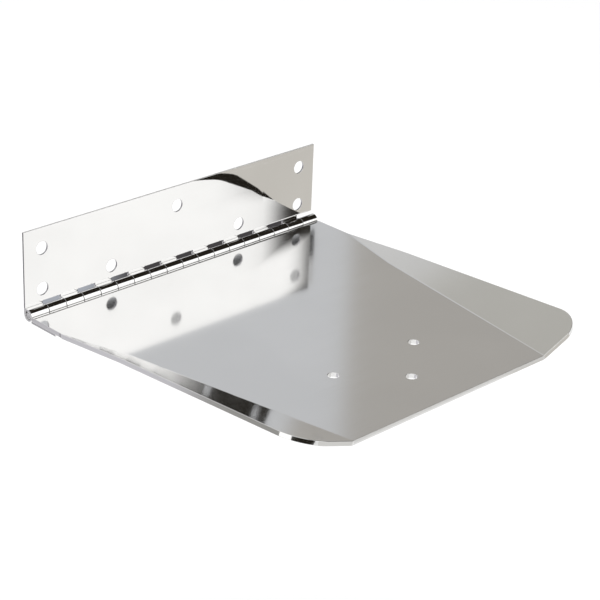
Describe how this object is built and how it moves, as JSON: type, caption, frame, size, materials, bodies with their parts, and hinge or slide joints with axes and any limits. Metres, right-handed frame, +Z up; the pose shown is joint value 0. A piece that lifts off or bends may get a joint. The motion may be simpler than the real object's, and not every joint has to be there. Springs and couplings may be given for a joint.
{
  "type": "boat trim tab",
  "caption": "Polished stainless boat trim tab: a plate with bent-up side wings on a full-width piano hinge, with a drilled flange for the transom.",
  "frame": {"origin": "on the transom face of the flange, at the centre of its four corner screw holes", "axes": "+X along the hinge, to starboard when seen from astern; +Y forward, out of the transom face into the hull; +Z up the transom"},
  "size_m": [0.2304, 0.2287, 0.0545],
  "materials": {
    "flange_steel": "mirror-polished stainless sheet",
    "leaf_steel": "polished stainless sheet, satin underneath",
    "plate_steel": "bright-polished stainless plate, slightly softer than the flange",
    "pin_steel": "ground stainless rod"
  },
  "bodies": {
    "transom_side": {"transom_flange": "flange_steel", "hinge_pin": "pin_steel"},
    "tab": {"trim_plate": "plate_steel", "hinge_leaf": "leaf_steel"}
  },
  "joints": [
    {"name": "tab_hinge", "type": "hinge", "parent": "transom_side", "child": "tab", "pos_m": [0, -0.0037, -0.0254], "axis": [1, 0, 0], "range_deg": [-85, 90]}
  ]
}
